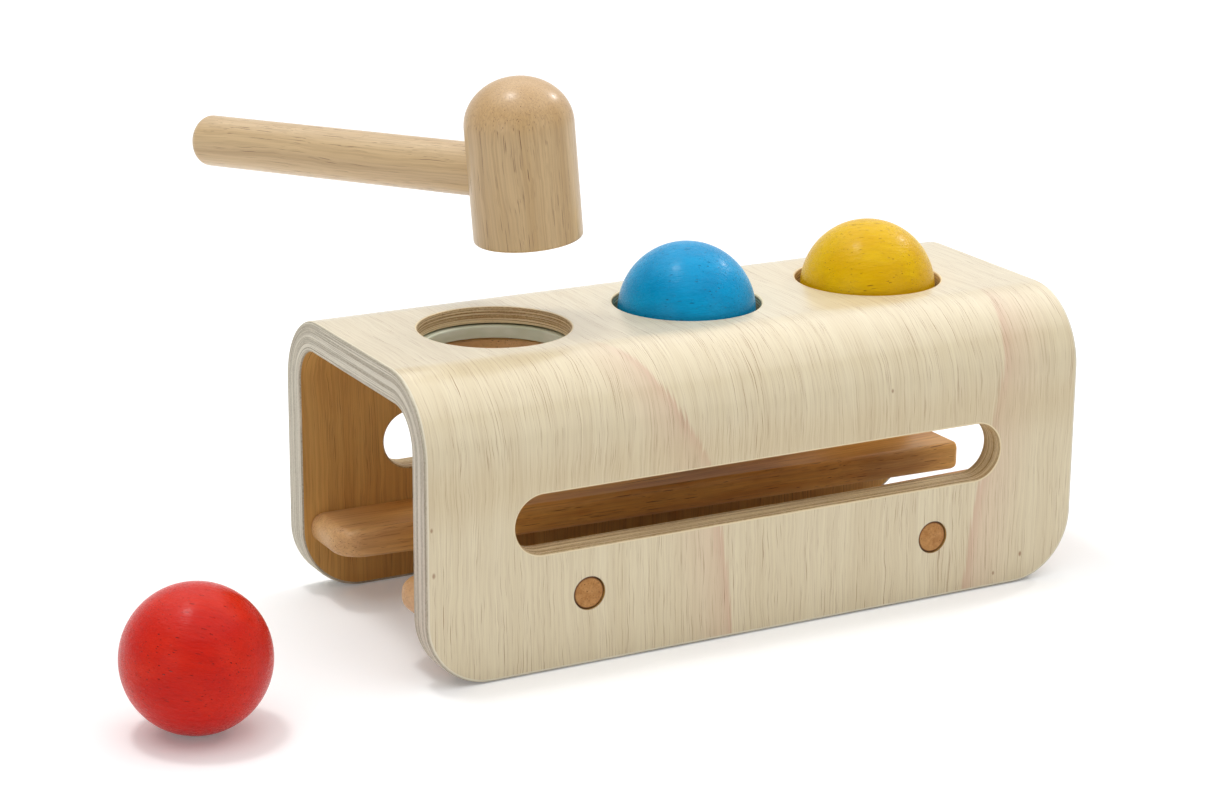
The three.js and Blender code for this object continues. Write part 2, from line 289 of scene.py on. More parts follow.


# Wood with its grain along the third axis of the grain attribute, in millimetres.
# band and flow are the width and length of its bands of colour, and fibre says how strongly its
# fine fibres show. A streak is (x, slant, added slant higher up, side it fades to, broad width,
# core width), a painted shade band (way along the sheet, half width, strength, colour), a darker
# band of painted shade across the upper walls, a tip (where full, where gone, colour), a rim
# (start, end) darker round a plug's edge, a dark ring (x, way) round a plug's hole and a knot
# (x, way, radius, strength).
def wood(name, light, dark, pore, pores, band=9.0, flow=260, fibre=0.15, rough=0.46, coat=0.1,
         gloss=0.5, sheen=0.0, flat=False, shift=(0, 0, 0), streaks=(), tip=None, painted_shade_band=None,
         rim=None, dark_rings=(), knots=()):
    t = Tree(name)
    start = t.scaled(t.grain(), (1, 1, 1), shift)
    x, y, way = t.split(start)
    bend = t.noise(t.scaled(start, BEND_SCALE))
    wiggle = t.noise(t.scaled(start, WIGGLE_SCALE), 1.0)
    g = t.join(t.plus(t.plus(x, t.swing(bend, SWAY)), t.swing(wiggle, QUIVER)), y, way)
    bands = t.noise(t.scaled(g, stretch(band, flow)), 4.0, 0.6)
    fine = t.noise(t.scaled(g, FIBRES), 2.0, 0.6)
    patch = t.noise(t.scaled(g, PATCHES))
    mask = None
    for k, layer in enumerate(pores):
        one = t.pores(g, *layer, shift=[k * v for v in PORE_STEP], flat=flat)
        mask = one if mask is None else t.math("MAXIMUM", mask, one)
    broken = t.noise(t.scaled(g, BREAKS), 1.0)
    mask = t.times(mask, t.fit(broken, 0.35, 0.55, 0.35, 1.0))
    mask = t.times(mask, t.fit(patch, 0.3, 0.6, 0.5, 1.0))
    color = t.mix(t.fit(bands, 0.3, 0.72), light, dark)

    if streaks:
        low = t.times(t.size(way), -1.0)
        rise = t.math("MAXIMUM", t.plus(low, STREAK_TURN), 0.0)
        shown = t.fit(low, *STREAK_ENDS, 1.0, 0.0)
        waves = t.swing(bend, 9.0), t.swing(fine, 6.0)
    for sx, slant, upper, side, broad, core in streaks:
        path = t.math("MULTIPLY_ADD", low, slant, sx + STREAK_AT * slant)
        path = t.math("MULTIPLY_ADD", rise, upper, path)
        inward = t.times(t.minus(x, path), side)
        for wave in waves:
            inward = t.plus(inward, wave)
        cloud = t.noise(t.scaled(g, STREAK_SCALE, (sx, *STREAK_SEED)))
        for width, most in ((broad, STREAK_BROAD), (core, STREAK_CORE)):
            soft = t.times(t.fit(inward, -0.9, 0.9), t.fit(inward, 0.0, width, 1.0, 0.0))
            strength = t.fit(cloud, 0.3, 0.55, STREAK_LEAST, most)
            color = t.mix(t.times(t.times(soft, strength), shown), color, PINK)
    if tip:
        full, none, tint = tip
        color = t.mix(t.fit(way, full, none, TIP_STRENGTH, 0.0), color, tint)
    # Painted shade: a darker, yellower band across the upper walls and the foot of the bends, where
    # they take less light
    if painted_shade_band:
        middle, half, strength, tint = painted_shade_band
        far = t.plus(t.size(t.minus(t.size(way), middle)), t.swing(bend, 12.0))
        color = t.mix(t.fit(far, 0.0, half, strength, 0.0), color, tint)
    color = t.mix(t.fit(fine, 0.3, 0.75, 0.0, fibre), color, pore)
    color = t.mix(mask, color, pore)
    # A darker rim round the edge of a plug
    if rim:
        color = t.mix(t.fit(t.length(x, y), *rim, 0.0, DARK_RING_STRENGTH), color, DARK_RING)
    # A darker ring round each plug's hole
    for bx, ring_way in dark_rings:
        far = t.length(t.minus(x, bx), t.minus(t.size(way), ring_way))
        darker_ring = t.fit(far, DARK_RING_R, DARK_RING_R + DARK_RING_WIDE, DARK_RING_STRENGTH, 0.0)
        color = t.mix(darker_ring, color, DARK_RING)
    for kx, knot_way, radius, strength in knots:
        far = t.length(t.minus(x, kx), t.times(t.minus(way, knot_way), KNOT_SQUEEZE))
        color = t.mix(t.fit(far, radius * 0.4, radius * 1.6, strength, 0.0), color, pore)

    height = t.minus(t.times(fine, 0.35), mask)
    normal = t.bump(height, PORE_DEPTH * MM, 0.8)
    plain = t.fit(fine, *FULL, rough - 0.05, rough + 0.06)
    return t.finish(color, t.math("MULTIPLY_ADD", mask, 0.2, plain), normal, coat_weight=coat,
                    coat_roughness=0.25, specular_ior_level=gloss, sheen_weight=sheen,
                    sheen_roughness=0.4)


# Stained ball: the colour lies over a fine grain that shows as short thin pores
STAIN_FINE, STAIN_WAVE, STAIN_CLOUD = stretch(0.45, 3.5), stretch(1.6, 7), stretch(11, 26)
STAIN_PORES = ((0.9, 7.0, 0.18), (0.8, 10.0, 0.16))
STAIN_PORE_STEP = (7, 3, 5)
STAIN_BUMP = 0.00023


def stain(name, main, deep, pale, shift):
    t = Tree(name)
    g = t.scaled(t.grain(), (1, 1, 1), shift)
    fine = t.noise(t.scaled(g, STAIN_FINE), 2.0, 0.6)
    wave = t.noise(t.scaled(g, STAIN_WAVE), 2.0, 0.6)
    cloud = t.noise(t.scaled(g, STAIN_CLOUD))
    color = t.mix(t.fit(cloud, *MIDDLE), main, pale)
    color = t.mix(t.fit(wave, 0.35, 0.75, 0.0, 0.12), color, deep)
    short, long = STAIN_PORES
    dash = t.math("MAXIMUM", t.pores(g, *short), t.pores(g, *long, STAIN_PORE_STEP))
    mask = t.times(dash, t.fit(cloud, 0.3, 0.55, 0.35, 1.0))
    color = t.mix(mask, color, deep)
    height = t.plus(t.times(fine, 0.5), t.minus(t.times(wave, 0.8), mask))
    normal = t.bump(height, STAIN_BUMP, 1.0)
    return t.finish(color, t.fit(fine, *FULL, 0.22, 0.32), normal, specular_ior_level=0.11,
                    coat_weight=0.06, coat_roughness=0.16)


# Cut edge of the plywood: uneven plies, fuzzy where the grain ends and streaked where it runs
# along. The second axis of the grain attribute goes from the outer skin, 0, to the inner, 10.
PLY_SCALE, PLY_SEED = (0.003, 1.9, 0.003), (0.3, 2.4, 0.7)
GLUE_SCALE, GLUE_SEED = (0.02, 4.6, 0.02), (4.1, 0.9, 2.2)
FUZZ_SCALE, ALONG_SCALE = (1.3, 2.8, 1.3), (0.08, 4.0, 0.08)
EDGE_BUMP = 0.00006


def ply_edge(name, ends, longs, glue, skin):
    t = Tree(name)
    g = t.grain()
    depth = t.split(g)[1]
    layer = t.noise(t.scaled(g, PLY_SCALE, PLY_SEED), 1.0)
    thin = t.noise(t.scaled(g, GLUE_SCALE, GLUE_SEED), 2.0, 0.6)
    fuzz = t.noise(t.scaled(g, FUZZ_SCALE), 3.0, 0.7)
    along = t.noise(t.scaled(g, ALONG_SCALE), 3.0, 0.6)
    end_ply = t.mix(t.fit(fuzz, 0.34, 0.66, 0.0, 0.85), ends, glue)
    long_ply = t.mix(t.fit(fuzz, 0.5, 0.7, 0.0, 0.5), longs, ends)
    color = t.mix(t.fit(layer, 0.47, 0.53), end_ply, long_ply)
    color = t.mix(t.fit(along, 0.5, 0.68, 0.0, 0.6), color, skin)
    color = t.mix(t.fit(thin, 0.56, 0.59, 0.0, 0.8), color, glue)
    color = t.mix(t.fit(depth, 0.02, 0.3, 1.0, 0.0), color, skin)
    height = t.plus(t.times(fuzz, 0.6), t.times(layer, 0.5))
    normal = t.bump(height, EDGE_BUMP, 0.7)
    return t.finish(color, t.fit(fuzz, *FULL, 0.5, 0.66), normal, specular_ior_level=0.3)


SPECK_SCALE, RUBBER_CLOUD, RUBBER_BUMP = (2.2, 2.2, 2.2), (0.08, 0.08, 0.2), 0.00003


def rubber(name, main, pale):
    t = Tree(name)
    g = t.grain()
    speck = t.noise(t.scaled(g, SPECK_SCALE), 3.0, 0.7)
    cloud = t.noise(t.scaled(g, RUBBER_CLOUD))
    color = t.mix(t.fit(cloud, *MIDDLE), main, pale)
    color = t.mix(t.fit(speck, 0.55, 0.75, 0.0, 0.3), color, pale)
    normal = t.bump(speck, RUBBER_BUMP, 0.6)
    return t.finish(color, t.fit(speck, *FULL, 0.42, 0.58), normal, specular_ior_level=0.4)


ZINC_LINES, ZINC_PATCH, ZINC_BUMP = (1.5, 1.5, 9.0), (0.5, 0.5, 0.5), 0.00002
ZINC_DARK, ZINC_PALE = (0.62, 0.6, 0.55), (0.72, 0.7, 0.66)


def zinc(name):
    t = Tree(name)
    g = t.grain()
    lines = t.noise(t.scaled(g, ZINC_LINES), 3.0)
    patch = t.noise(t.scaled(g, ZINC_PATCH), 3.0)
    color = t.mix(t.fit(patch, *MIDDLE), ZINC_DARK, ZINC_PALE)
    normal = t.bump(lines, ZINC_BUMP, 0.5)
    return t.finish(color, t.fit(patch, *FULL, 0.28, 0.42), normal, metallic=1.0)


# Layers of pores: width and length of a cell in millimetres, and the pore's share of it
SHEET = [(0.55, 130.0, 0.11), (0.65, 90.0, 0.11), (0.5, 40.0, 0.12)]
STICK = [(0.6, 50.0, 0.26), (0.6, 16.0, 0.22)]
HAMMER = [(0.55, 55.0, 0.23), (0.45, 18.0, 0.23)]
PLUG = [(0.8, 9.0, 0.3)]
PINK = rgb(212, 176, 146)
# Colour of the darker rings round the plugs and their holes
DARK_RING = rgb(92, 52, 20)
# Painted shade: a darker, yellower band on the upper walls (way along the sheet, half width,
# strength, colour)
PAINTED_SHADE_BAND = (80.0, 16.0, 0.42, rgb(203, 180, 134))
STREAKS = ((-20.7, -0.19, -0.32, -1.0, 22.0, 4.5), (86.2, 0.187, 0.0, 1.0, 24.0, 5.0))
# Places of the darker rings round the plugs' holes, as x and way along the sheet
PLUG_DARK_RINGS = ((-65.9, 120.1), (65.9, 122.2))
SHEET_KNOTS = ((102.7, -134.1, 0.5, 0.8), (91.7, -139.4, 0.4, 0.7), (-121.3, -90.3, 0.4, 0.7),
               (-120.7, -105.3, 0.5, 0.7), (47.7, -67.9, 0.4, 0.7), (-60.0, 100.0, 0.4, 0.7),
               (35.0, 70.0, 0.5, 0.7))
RAIL_KNOTS = ((24.0, 136.0, 9.0, 0.4), (-34.0, -70.0, 7.0, 0.35), (40.0, 60.0, 6.0, 0.3))
# Each rail takes its grain from another place, and is duller over this length at its nose
RAIL_SHIFT, RAIL_TIP = 40, 40
# Shift of the hammer's grain, and the shifted levels where the tint of its dome is full and gone
HAMMER_SHIFT = (3, 9, 41)
DOME_FULL, DOME_NONE = 89.0, 74.0

veneer = wood("plywood_face", rgb(227, 213, 178), rgb(219, 203, 166), rgb(140, 90, 40), SHEET,
              band=7.0, fibre=0.18, coat=1.0, sheen=0.2, flat=True, streaks=STREAKS, painted_shade_band=PAINTED_SHADE_BAND,
              dark_rings=PLUG_DARK_RINGS, knots=SHEET_KNOTS)
inside = wood("plywood_inside", rgb(216, 170, 98), rgb(202, 154, 84), rgb(106, 66, 26), SHEET,
              band=6.0, fibre=0.24, rough=0.52, coat=0.0, gloss=0.3, flat=True, shift=(31, 7, 0))
edge = ply_edge("plywood_edge", rgb(195, 188, 169), rgb(221, 215, 198), rgb(158, 147, 126),
                rgb(230, 221, 198))
bore = ply_edge("plywood_bore", rgb(208, 180, 133), rgb(238, 218, 175), rgb(156, 118, 72),
                rgb(234, 218, 182))
board_wood = wood("board_wood", rgb(222, 178, 120), rgb(206, 158, 100), rgb(140, 96, 54), STICK,
                  shift=(5, 61, 9))
rail_woods = {}
for side in (-1, 1):
    nose = RAIL_X0 + RAIL_SHIFT * side
    rail_woods[side] = wood("rail_wood", rgb(237, 182, 98), rgb(208, 147, 71), rgb(110, 60, 22),
                            STICK, band=5.0, flow=60, fibre=0.25, rough=0.42, coat=0.03,
                            gloss=0.3, shift=(11, 17, 0), knots=RAIL_KNOTS,
                            tip=(nose, nose + RAIL_TIP, rgb(204, 166, 124)))
plug_wood = wood("plug_wood", rgb(200, 146, 84), rgb(178, 121, 62), rgb(112, 68, 28), PLUG,
                 band=3.0, fibre=0.3, coat=0.0, gloss=0.3, rim=(4.6, 5.2))
head_wood = wood("head_wood", rgb(208, 178, 131), rgb(192, 159, 109), rgb(100, 60, 25), HAMMER,
                 band=6.0, fibre=0.22, rough=0.36, coat=0.25, shift=HAMMER_SHIFT,
                 tip=(DOME_FULL, DOME_NONE, rgb(201, 160, 106)))
handle_wood = wood("handle_wood", rgb(214, 185, 140), rgb(197, 165, 117), rgb(100, 60, 25),
                   HAMMER, band=6.0, fibre=0.22, rough=0.36, coat=0.25, shift=HAMMER_SHIFT)
grip = rubber("grip_rubber", rgb(209, 215, 188), rgb(228, 233, 213))
steel = zinc("steel")
blue = stain("blue_wood", rgb(0, 145, 200), rgb(0, 72, 120), rgb(0, 159, 214), (2, 5, 3))
yellow = stain("yellow_wood", rgb(226, 176, 0), rgb(156, 98, 0), rgb(234, 190, 2), (41, 13, 7))
red = stain("red_wood", rgb(204, 30, 17), rgb(110, 6, 8), rgb(216, 42, 20), (71, 29, 11))

# Mesh limits: points closer than the first are one, radii below the second are on the axis,
# and edges that bend by more than the angle stay edges
WELD = 1e-4
TINY = 1e-6
SHARP = math.radians(32)


# Meshes are made in millimetres and scaled when a piece is handed over
def mesh_object(name, bm):
    mesh = bpy.data.meshes.new(name)
    bm.normal_update()
    bm.to_mesh(mesh)
    bm.free()
    obj = bpy.data.objects.new(name, mesh)
    scene.collection.objects.link(obj)
    return obj


def apply_all(obj):
    graph = bpy.context.evaluated_depsgraph_get()
    mesh = bpy.data.meshes.new_from_object(obj.evaluated_get(graph))
    obj.modifiers.clear()
    old = obj.data
    obj.data = mesh
    bpy.data.meshes.remove(old)


def cut(obj, tool):
    modifier = obj.modifiers.new("cut", "BOOLEAN")
    modifier.operation = "DIFFERENCE"
    modifier.solver = "EXACT"
    modifier.object = tool
    apply_all(obj)
    mesh = tool.data
    bpy.data.objects.remove(tool)
    bpy.data.meshes.remove(mesh)


# Rounds sharp edges by the share of the width that the test gives for their middle, and leaves
# those with none sharp
def soften(obj, width, share, segments=3):
    mesh = obj.data
    bm = bmesh.new()
    bm.from_mesh(mesh)
    bmesh.ops.remove_doubles(bm, verts=bm.verts, dist=WELD)
    bmesh.ops.dissolve_degenerate(bm, edges=bm.edges, dist=WELD)
    layer = bm.edges.layers.float.new("bevel_weight_edge")
    for e in bm.edges:
        if len(e.link_faces) == 2 and e.calc_face_angle(0.0) > SHARP:
            a, b = (v.co for v in e.verts)
            weight = share((a + b) / 2)
            e[layer] = weight
            e.smooth = weight > 0
    for f in bm.faces:
        f.smooth = True
    bm.to_mesh(mesh)
    bm.free()
    bevel = obj.modifiers.new("round", "BEVEL")
    bevel.limit_method = "WEIGHT"
    bevel.width = width
    bevel.segments = segments
    bevel.use_clamp_overlap = False
    bevel.miter_outer = "MITER_ARC"
    weighted = obj.modifiers.new("normals", "WEIGHTED_NORMAL")
    weighted.weight = 100
    weighted.keep_sharp = True
    apply_all(obj)


# Smooth faces between edges that stay sharp
def shade(obj):
    soften(obj, 0.1, lambda m: 0.0, 1)


def hand_over(obj, node, body, materials, grain=None, turn=None):
    mesh = obj.data
    values = [grain(v.co) if grain else v.co for v in mesh.vertices]
    layer = mesh.attributes.new("grain", "FLOAT_VECTOR", "POINT")
    layer.data.foreach_set("vector", [c for v in values for c in v])
    if turn is not None:
        mesh.transform(turn)
    mesh.transform(Matrix.Scale(MM, 4))
    for m in materials:
        mesh.materials.append(m)
    mesh.update()
    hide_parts(node)
    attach(obj, body)


def round_points(radii, z):
    n = len(radii)
    angles = [2 * math.pi * i / n for i in range(n)]
    return [(r * math.cos(a), r * math.sin(a), z) for r, a in zip(radii, angles)]


# A closed solid of revolution about Z from a rising profile that starts and ends on the axis.
# A radius may be a list, with one value for each of the n directions.
def lathe(profile, n, bm=None, turn=None):
    bm = bmesh.new() if bm is None else bm
    rows = []
    for r, z in profile:
        radii = r if isinstance(r, list) else [r] * n
        points = [(0, 0, z)] if radii[0] < TINY else round_points(radii, z)
        rows.append([bm.verts.new(p) for p in points])
    for low, high in zip(rows, rows[1:]):
        for i in range(n):
            j = (i + 1) % n
            face = [low[i % len(low)], low[j % len(low)], high[j % len(high)], high[i % len(high)]]
            bm.faces.new([v for k, v in enumerate(face) if v is not face[k - 1]])
    if turn is not None:
        bmesh.ops.transform(bm, matrix=turn, verts=[v for row in rows for v in row])
    return bm


# A round bar between two levels, for cutting
def bar(radius, low, high):
    return [(0, low), (radius, low), (radius, high), (0, high)]


def arc(cx, cy, rx, ry, start, end, n):
    steps = [math.radians(start + (end - start) * i / n) for i in range(n + 1)]
    return [(cx + rx * math.cos(a), cy + ry * math.sin(a)) for a in steps]


def lying(x, y, z):
    return (x, y, z)


def upright(x, z, y):
    return (x, y, z)


# A flat outline, counter-clockwise, drawn out between two levels
def prism(outline, low, high, bm=None, place=lying):
    bm = bmesh.new() if bm is None else bm
    lower = [bm.verts.new(place(x, y, low)) for x, y in outline]
    upper = [bm.verts.new(place(x, y, high)) for x, y in outline]
    bm.faces.new(lower[::-1])
    bm.faces.new(upper)
    n = len(outline)
    for i in range(n):
        j = (i + 1) % n
        bm.faces.new((lower[i], lower[j], upper[j], upper[i]))
    return bm


# Housing: distance to the outer and the inner skin of the bent sheet, and the way along it
def skin(y, z, half, top, r):
    qy = abs(y) - (half - r)
    qz = z - (top - r)
    return r - math.hypot(max(qy, 0), max(qz, 0)) - min(max(qy, qz), 0)


def depths(co):
    outer = skin(co.y, co.z, WIDE / 2, TALL, BEND_OUT)
    inner = -skin(co.y, co.z, WIDE / 2 - WALL, UNDER, BEND_IN)
    return outer, inner


def along_sheet(co):
    cy, cz = WIDE / 2 - BEND_OUT, TALL - BEND_OUT
    side = 1 if co.y >= 0 else -1
    y = abs(co.y) - cy
    if y <= 0:
        return co.y
    if co.z >= cz:
        return side * (cy + BEND_OUT * math.atan2(y, max(co.z - cz, 0)))
    return side * (cy + BEND_OUT * math.pi / 2 + cz - co.z)


def sheet_grain(co):
    outer, inner = depths(co)
    share = min(max(outer / max(outer + inner, TINY), 0.0), 1.0)
    return (co.x, 10 * share, along_sheet(co))


# How near a point counts as on a skin, a face as part of it, and a point as on an outline
ON, ON_FACE, NEAR = 0.05, 0.03, 0.3
HOUSING_ROUND, RIM_SHARE, SLOT_SHARE = 1.1, 0.7, 0.6
BEND_STEPS, SLOT_MARGIN, FOOT_MARGIN = 28, 12, 2
# Places of its materials, and how far from a plug, slot or hole its cut faces lie at most
FACE, INSIDE, EDGE, BORE = range(4)
PLUG_MARGIN, BORE_MARGIN, BORE_REACH = 0.5, 1, 102


def bent(half, top, r, levels):
    y, z = half - r, top - r
    path = [(half, level) for level in levels] + arc(y, z, r, r, 0, 90, BEND_STEPS)
    return path + arc(-y, z, r, r, 90, 180, BEND_STEPS) + [(-half, level) for level in levels[::-1]]


def bent_sheet():
    levels = (0.0, FOOT_R + FOOT_MARGIN, SLOT_Z - SLOT_MARGIN, SLOT_Z + SLOT_MARGIN)
    outer = bent(WIDE / 2, TALL, BEND_OUT, levels)
    inner = bent(WIDE / 2 - WALL, UNDER, BEND_IN, levels)
    bm = bmesh.new()
    rings = []
    for x in (-LONG / 2, LONG / 2):
        for path in (outer, inner):
            rings.append([bm.verts.new((x, y, z)) for y, z in path])
    o0, i0, o1, i1 = rings
    for k in range(len(outer) - 1):
        bm.faces.new((o0[k], o1[k], o1[k + 1], o0[k + 1]))
        bm.faces.new((i0[k], i0[k + 1], i1[k + 1], i1[k]))
        bm.faces.new((o0[k], o0[k + 1], i0[k + 1], i0[k]))
        bm.faces.new((o1[k], i1[k], i1[k + 1], o1[k + 1]))
    for k in (0, len(outer) - 1):
        bm.faces.new((o0[k], i0[k], i1[k], o1[k]))
    bmesh.ops.recalc_face_normals(bm, faces=bm.faces)
    return bm


def housing_cuts():
    tool = bmesh.new()
    low, high = TOP_CUT
    for x in HOLES.values():
        profile = [(0, low), (SEAT_R, low), (SEAT_R, SEAT_ROOF), (HOLE_R, SEAT_ROOF)]
        profile += [(HOLE_R, high), (0, high)]
        lathe(profile, 128, tool, Matrix.Translation((x, 0, 0)))
    slot = arc(SLOT_HALF, SLOT_Z, SLOT_R, SLOT_R, -90, 90, 32)
    slot += arc(-SLOT_HALF, SLOT_Z, SLOT_R, SLOT_R, 90, 270, 32)
    prism(slot, -PAST_WALLS, PAST_WALLS, tool, upright)
    for side in (-1, 1):
        c = LONG / 2 - FOOT_R
        corner = arc(c, FOOT_R, FOOT_R, FOOT_R, 0, -90, 28)
        corner += [(c, -PAST), (LONG / 2 + PAST, -PAST), (LONG / 2 + PAST, FOOT_R)]
        prism([(side * x, z) for x, z in corner], -PAST_WALLS, PAST_WALLS, tool, upright)
    w, v = WIDE / 2, WIDE / 2 - WALL
    for side in (-1, 1):
        for x, z in PLUGS.values():
            profile = [(0, v - PAST), (SHAFT_R, v - PAST), (SHAFT_R, w - PLUG_DEEP)]
            profile += [(PLUG_R + LOOSE, w - PLUG_DEEP), (PLUG_R + LOOSE, w + PAST), (0, w + PAST)]
            lathe(profile, 48, tool, Matrix.Translation((x, 0, z)) @ turned(-90 * side, "X"))
    for x, y in BOARD_SCREWS:
        lathe(bar(PILOT_R, low, PILOT_TOP), 20, tool, Matrix.Translation((x, y, 0)))
    bmesh.ops.recalc_face_normals(tool, faces=tool.faces)
    return tool


def in_slot(m, margin):
    return abs(m.z - SLOT_Z) < SLOT_R + margin and abs(m.x) < SLOT_HALF + SLOT_R + margin


def housing_share(m):
    outer, inner = depths(m)
    if min(abs(outer), abs(inner)) > ON and m.z > ON:
        return 0.0
    at_rim = any(abs(math.hypot(m.x - x, m.y) - HOLE_R) < NEAR for x in HOLES.values())
    if abs(outer) < ON and m.z > TALL - ON and at_rim:
        return RIM_SHARE
    if in_slot(m, NEAR):
        return SLOT_SHARE
    past = abs(m.x) - (LONG / 2 - FOOT_R)
    far = math.hypot(past, m.z - FOOT_R)
    on_foot = past > 0 and m.z < FOOT_R and abs(far - FOOT_R) < NEAR
    return 1.0 if abs(m.x) > LONG / 2 - ON or m.z < ON or on_foot else 0.0


def housing_material(points):
    spread = [depths(q) for q in points]
    if max(abs(outer) for outer, _ in spread) < ON_FACE:
        return FACE
    if max(abs(inner) for _, inner in spread) < ON_FACE:
        return INSIDE
    m = sum(points, Vector()) / len(points)
    if any(math.hypot(m.x - x, m.z - z) < PLUG_R + PLUG_MARGIN for x, z in PLUGS.values()):
        return INSIDE
    in_top = m.z > UNDER - BORE_MARGIN and abs(m.x) < BORE_REACH
    return BORE if in_top or in_slot(m, BORE_MARGIN) else EDGE


def housing():
    obj = mesh_object("housing_sheet", bent_sheet())
    cut(obj, mesh_object("tool", housing_cuts()))
    soften(obj, HOUSING_ROUND, housing_share, 4)
    hand_over(obj, "housing", "bench", [veneer, inside, edge, bore], sheet_grain)
    for p in obj.data.polygons:
        points = [Vector(obj.data.vertices[k].co) * 1000 for k in p.vertices]
        p.material_index = housing_material(points)


housing()

# Grip rings with soft lips, a little lower than their seats
LIP_R, RING_EDGE, RING_LOWER = 0.7, 0.4, 0.9


def ring(name, x):
    r, e, top = LIP_R, RING_EDGE, RING_T - RING_LOWER
    a, b = RING_IN, RING_OUT
    section = arc(a + r, r, r, r, 270, 180, 6) + arc(a + r, top - r, r, r, 180, 90, 6)
    section += arc(b - e, top - e, e, e, 90, 0, 3) + arc(b - e, e, e, e, 0, -90, 3)
    bm = bmesh.new()
    n = 128
    rows = []
    for i in range(n):
        c, s = math.cos(2 * math.pi * i / n), math.sin(2 * math.pi * i / n)
        rows.append([bm.verts.new((q * c, q * s, z)) for q, z in section])
    for row, following in zip(rows, rows[1:] + rows[:1]):
        for k in range(len(section)):
            m = (k + 1) % len(section)
            f = bm.faces.new((row[k], row[m], following[m], following[k]))
            f.smooth = True
    bmesh.ops.recalc_face_normals(bm, faces=bm.faces)
    obj = mesh_object("grip_lip_" + name, bm)
    hand_over(obj, "grip_ring_" + name, "bench", [grip], None,
              Matrix.Translation((x, 0, RING_Z)))


for key, x in HOLES.items():
    ring(key, x)

# Board that keeps the rings in
BOARD_ROUND, SCREW_CLEAR = 0.8, 3


def board_share(m):
    flat = abs(m.z - BOARD_Z) < ON or abs(m.z - BOARD_Z - BOARD_T) < ON
    at_screw = any(math.hypot(m.x - x, m.y - y) < SCREW_CLEAR for x, y in BOARD_SCREWS)
    return 1.0 if flat and not at_screw else 0.0


def board():
    r = BOARD_R
    x, y = BOARD_X - r, BOARD_Y - r
    outline = arc(x, y, r, r, 0, 90, 8) + arc(-x, y, r, r, 90, 180, 8)
    outline += arc(-x, -y, r, r, 180, 270, 8) + arc(x, -y, r, r, 270, 360, 8)
    obj = mesh_object("ring_keeper", prism(outline, BOARD_Z, BOARD_Z + BOARD_T))
    tool = bmesh.new()
    for hx in HOLES.values():
        lathe(bar(HOLE_R, *BOARD_CUT), 96, tool, Matrix.Translation((hx, 0, 0)))
    for sx, sy in BOARD_SCREWS:
        lathe(bar(PILOT_R, *BOARD_CUT), 20, tool, Matrix.Translation((sx, sy, 0)))
    cut(obj, mesh_object("tool", tool))
    soften(obj, BOARD_ROUND, board_share)
    hand_over(obj, "ring_board", "bench", [board_wood], lambda c: (c.y, c.z, c.x))


board()

# Wood screw along Z: head above zero with a cross recess, thread below.
# Pitch, core and neck are shares of the shank, and the recess has shares of the head.
THREAD_PITCH, THREAD_CORE, THREAD_HALF, THREAD_STEPS = 0.42, 0.64, 0.25, 6
NECK, NECK_LOW, THREAD_TOP, THREAD_TIP, TIP_START = 0.8, -0.9, -1.2, 0.4, 0.08
CROSS_LONG, CROSS_WIDE, CROSS_DEEP, HEAD_RIM = 0.3, 0.075, 0.55, 0.35


def screw(name, node, shank, head, tall, length, turn):
    r, h = shank / 2, head / 2
    pitch = shank * THREAD_PITCH
    n = 24
    low, high = THREAD_TIP - length, THREAD_TOP
    levels = int((high - low) / pitch * THREAD_STEPS)
    profile = [(0, -length)]
    for k in range(levels + 1):
        z = low + (high - low) * k / levels
        taper = min(1.0, (length + z) / (2 * shank) + TIP_START)
        phases = [(z / pitch - i / n) % 1.0 for i in range(n)]
        crests = [max(0.0, 1 - abs(q - 0.5) / THREAD_HALF) for q in phases]
        profile.append(([r * taper * (THREAD_CORE + (1 - THREAD_CORE) * c) for c in crests], z))
    profile += [(r * NECK, NECK_LOW), (r * NECK, 0.0), (h, 0.0)]
    profile += arc(0, tall * HEAD_RIM, h, tall * (1 - HEAD_RIM), 0, 90, 6)[:-1] + [(0, tall)]
    obj = mesh_object("head_" + name, lathe(profile, n))
    a, b = head * CROSS_LONG, head * CROSS_WIDE
    cross = [(a, -b), (a, b), (b, b), (b, a), (-b, a), (-b, b),
             (-a, b), (-a, -b), (-b, -b), (-b, -a), (b, -a), (b, -b)]
    cut(obj, mesh_object("tool", prism(cross, tall - tall * CROSS_DEEP, tall + 2)))
    shade(obj)
    hand_over(obj, node, "bench", [steel], None, turn)


for i, (x, y) in enumerate(BOARD_SCREWS, 1):
    screw("board_%d" % i, "board_screw_%d" % i, **BOARD_SCREW, length=BOARD_SCREW_LONG,
          turn=Matrix.Translation((x, y, BOARD_Z - SCREW_GAP)) @ turned(180, "X"))

# Rails, tapered in plan, with edges that get rounder towards the nose
RAIL_ROUND, RAIL_SHARE = 4.6, 0.45
NOSE_FROM, NOSE_OVER = 20, 16


def rail_share(m):
    if abs(abs(m.y) - RAIL_WALL) < ON:
        return 0.0
    at_nose = min(max((RAIL_X0 + NOSE_FROM - m.x) / NOSE_OVER, 0.0), 1.0)
    return RAIL_SHARE + (1 - RAIL_SHARE) * at_nose


